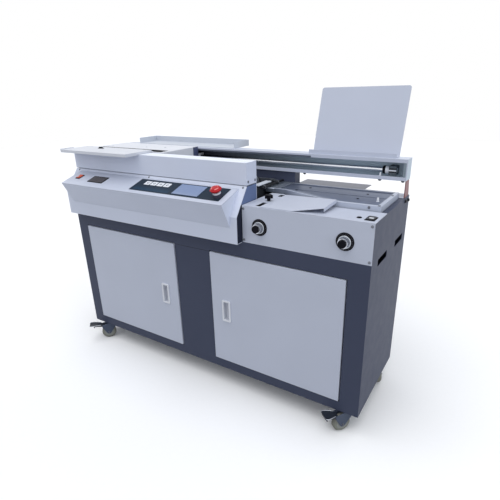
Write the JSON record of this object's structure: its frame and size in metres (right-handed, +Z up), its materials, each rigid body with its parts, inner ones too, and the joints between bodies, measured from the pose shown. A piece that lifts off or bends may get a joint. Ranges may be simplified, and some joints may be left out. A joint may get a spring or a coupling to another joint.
{
  "type": "glue binding machine",
  "caption": "Floor-standing hot-melt glue binding machine: sliding book clamp on a rear rail, sloping console and cover nipping table on a wheeled two-door cabinet.",
  "frame": {"origin": "on the floor, under the middle of the overall box", "axes": "+X to the right of someone standing at the console, +Y to the rear, +Z up"},
  "size_m": [1.3, 0.61, 1.098],
  "materials": {
    "cabinet_paint": "fine textured slate paint",
    "pale_paint": "satin pale grey paint",
    "dark_paint": "satin slate blue paint",
    "beam_paint": "satin pale grey paint",
    "steel": "ground steel",
    "nip_steel": "grey coated steel",
    "zinc": "bright zinc",
    "knob_metal": "satin turned",
    "black_plastic": "matte moulded",
    "white_plastic": "satin moulded",
    "panel_film": "matte film",
    "screen_glass": "gloss display window",
    "stop_red": "gloss moulded",
    "rocker_orange": "gloss moulded",
    "collar_grey": "moulded",
    "post_paint": "satin red paint",
    "beige_sheet": "satin beige paint",
    "grey_rubber": "moulded grey rubber",
    "cast_grey": "cast",
    "bin_plastic": "moulded"
  },
  "bodies": {
    "machine": {"base_pan": "cabinet_paint", "left_side_panel": "cabinet_paint", "right_side_panel": "cabinet_paint", "rear_panel": "cabinet_paint", "front_frame": "cabinet_paint", "deck_plate": "cabinet_paint", "mains_inlet": "black_plastic", "scrap_bin": "bin_plastic", "console_shroud": "pale_paint", "end_plates": "dark_paint", "hood": "pale_paint", "console_case": "pale_paint", "control_panel": "panel_film", "screen": "screen_glass", "estop_base": "collar_grey", "power_bezel": "black_plastic", "table_bezel": "black_plastic", "station_panel": "pale_paint", "station_top": "pale_paint", "dial_rings": "black_plastic", "nip_frame": "steel", "rear_cover_tray": "beige_sheet", "rail_beam": "beam_paint", "guide_shaft": "steel", "shaft_supports": "dark_paint", "rear_wall": "dark_paint", "support_post": "post_paint", "rear_tray": "pale_paint", "cover_board": "pale_paint", "milling_motor": "cast_grey", "glue_tank": "cast_grey", "caster_plates": "zinc"},
    "left_door": {"left_door": "pale_paint", "left_pull": "white_plastic"},
    "right_door": {"right_door": "pale_paint", "right_pull": "white_plastic"},
    "estop_head": {"estop_head": "stop_red"},
    "power_rocker": {"power_rocker": "rocker_orange"},
    "table_rocker": {"table_rocker": "white_plastic"},
    "nip_front_plate": {"nip_front_plate": "nip_steel"},
    "left_knob": {"left_knob": "knob_metal"},
    "nip_rear_plate": {"nip_rear_plate": "nip_steel"},
    "right_knob": {"right_knob": "knob_metal"},
    "cover_guide": {"cover_guide": "pale_paint"},
    "star_knob": {"star_knob": "black_plastic"},
    "carriage": {"carriage": "pale_paint", "platform": "pale_paint"},
    "clamp_jaw": {"clamp_jaw": "steel"},
    "milling_cutter": {"milling_cutter": "steel"},
    "glue_roller": {"glue_roller": "steel"},
    "front_left_fork": {"front_left_fork": "zinc"},
    "front_left_wheel": {"front_left_wheel": "grey_rubber"},
    "front_left_pedal": {"front_left_pedal": "black_plastic"},
    "front_right_fork": {"front_right_fork": "zinc"},
    "front_right_wheel": {"front_right_wheel": "grey_rubber"},
    "front_right_pedal": {"front_right_pedal": "black_plastic"},
    "rear_left_fork": {"rear_left_fork": "zinc"},
    "rear_left_wheel": {"rear_left_wheel": "grey_rubber"},
    "rear_right_fork": {"rear_right_fork": "zinc"},
    "rear_right_wheel": {"rear_right_wheel": "grey_rubber"}
  },
  "joints": [
    {"name": "left_door_hinge", "type": "hinge", "parent": "machine", "child": "left_door", "pos_m": [-0.56, -0.225, 0.344], "axis": [0, 0, -1], "range_deg": [0, 105]},
    {"name": "right_door_hinge", "type": "hinge", "parent": "machine", "child": "right_door", "pos_m": [0.552, -0.225, 0.344], "axis": [0, 0, 1], "range_deg": [0, 105]},
    {"name": "estop_push", "type": "slide", "parent": "machine", "child": "estop_head", "axis": [0, 0.3141, -0.9494], "range_m": [0, 0.005]},
    {"name": "power_rocker_tilt", "type": "hinge", "parent": "machine", "child": "power_rocker", "pos_m": [-0.566, -0.24794, 0.77667], "axis": [1, 0, 0], "range_deg": [-8, 8]},
    {"name": "table_rocker_tilt", "type": "hinge", "parent": "machine", "child": "table_rocker", "pos_m": [0.627, -0.195, 0.746], "axis": [1, 0, 0], "range_deg": [-8, 8]},
    {"name": "nip_front_plate_slide", "type": "slide", "parent": "machine", "child": "nip_front_plate", "axis": [0, 1, 0], "range_m": [-0.01, 0.0025]},
    {"name": "left_knob_turn", "type": "hinge", "parent": "machine", "child": "left_knob", "pos_m": [0.282, -0.233, 0.684], "axis": [0, 1, 0], "range_deg": [-720, 180]},
    {"name": "nip_rear_plate_slide", "type": "slide", "parent": "machine", "child": "nip_rear_plate", "axis": [0, 1, 0], "range_m": [-0.0025, 0.01]},
    {"name": "right_knob_turn", "type": "hinge", "parent": "machine", "child": "right_knob", "pos_m": [0.568, -0.233, 0.684], "axis": [0, 1, 0], "range_deg": [-180, 720]},
    {"name": "cover_guide_slide", "type": "slide", "parent": "machine", "child": "cover_guide", "axis": [0, 1, 0], "range_m": [-0.04, 0.004]},
    {"name": "star_knob_turn", "type": "hinge", "parent": "cover_guide", "child": "star_knob", "pos_m": [0.2695, -0.149, 0.75], "axis": [0, 0, 1], "range_deg": [-180, 180]},
    {"name": "carriage_slide", "type": "slide", "parent": "machine", "child": "carriage", "axis": [1, 0, 0], "range_m": [0, 0.77]},
    {"name": "clamp_jaw_slide", "type": "slide", "parent": "carriage", "child": "clamp_jaw", "axis": [0, -1, 0], "range_m": [0, 0.045]},
    {"name": "milling_cutter_spin", "type": "hinge", "parent": "machine", "child": "milling_cutter", "pos_m": [-0.11, -0.018, 0.782], "axis": [0, 0, 1], "continuous": true},
    {"name": "glue_roller_spin", "type": "hinge", "parent": "machine", "child": "glue_roller", "pos_m": [0.085, -0.018, 0.764], "axis": [0, 1, 0], "continuous": true},
    {"name": "front_left_swivel", "type": "hinge", "parent": "machine", "child": "front_left_fork", "pos_m": [-0.565, -0.202, 0.0761], "axis": [0, 0, 1], "continuous": true},
    {"name": "front_left_wheel_spin", "type": "hinge", "parent": "front_left_fork", "child": "front_left_wheel", "pos_m": [-0.58374, -0.22281, 0.032], "axis": [0.7431, -0.6691, 0], "continuous": true},
    {"name": "front_left_pedal_press", "type": "hinge", "parent": "front_left_fork", "child": "front_left_pedal", "pos_m": [-0.59846, -0.23916, 0.065], "axis": [0.7431, -0.6691, 0], "range_deg": [0, 18]},
    {"name": "front_right_swivel", "type": "hinge", "parent": "machine", "child": "front_right_fork", "pos_m": [0.608, -0.202, 0.0761], "axis": [0, 0, 1], "continuous": true},
    {"name": "front_right_wheel_spin", "type": "hinge", "parent": "front_right_fork", "child": "front_right_wheel", "pos_m": [0.59038, -0.22376, 0.032], "axis": [0.7771, -0.6293, 0], "continuous": true},
    {"name": "front_right_pedal_press", "type": "hinge", "parent": "front_right_fork", "child": "front_right_pedal", "pos_m": [0.57653, -0.24086, 0.065], "axis": [0.7771, -0.6293, 0], "range_deg": [0, 18]},
    {"name": "rear_left_swivel", "type": "hinge", "parent": "machine", "child": "rear_left_fork", "pos_m": [-0.565, 0.12, 0.0761], "axis": [0, 0, 1], "continuous": true},
    {"name": "rear_left_wheel_spin", "type": "hinge", "parent": "rear_left_fork", "child": "rear_left_wheel", "pos_m": [-0.58874, 0.10516, 0.032], "axis": [0.5299, -0.848, 0], "continuous": true},
    {"name": "rear_right_swivel", "type": "hinge", "parent": "machine", "child": "rear_right_fork", "pos_m": [0.608, 0.12, 0.0761], "axis": [0, 0, 1], "continuous": true},
    {"name": "rear_right_wheel_spin", "type": "hinge", "parent": "rear_right_fork", "child": "rear_right_wheel", "pos_m": [0.622, 0.09575, 0.032], "axis": [0.866, 0.5, 0], "continuous": true}
  ],
  "couplings": [
    {"joint": "left_knob_turn", "follows": "nip_front_plate_slide", "rad_per_m": 1256.6},
    {"joint": "right_knob_turn", "follows": "nip_rear_plate_slide", "rad_per_m": 1256.6}
  ]
}
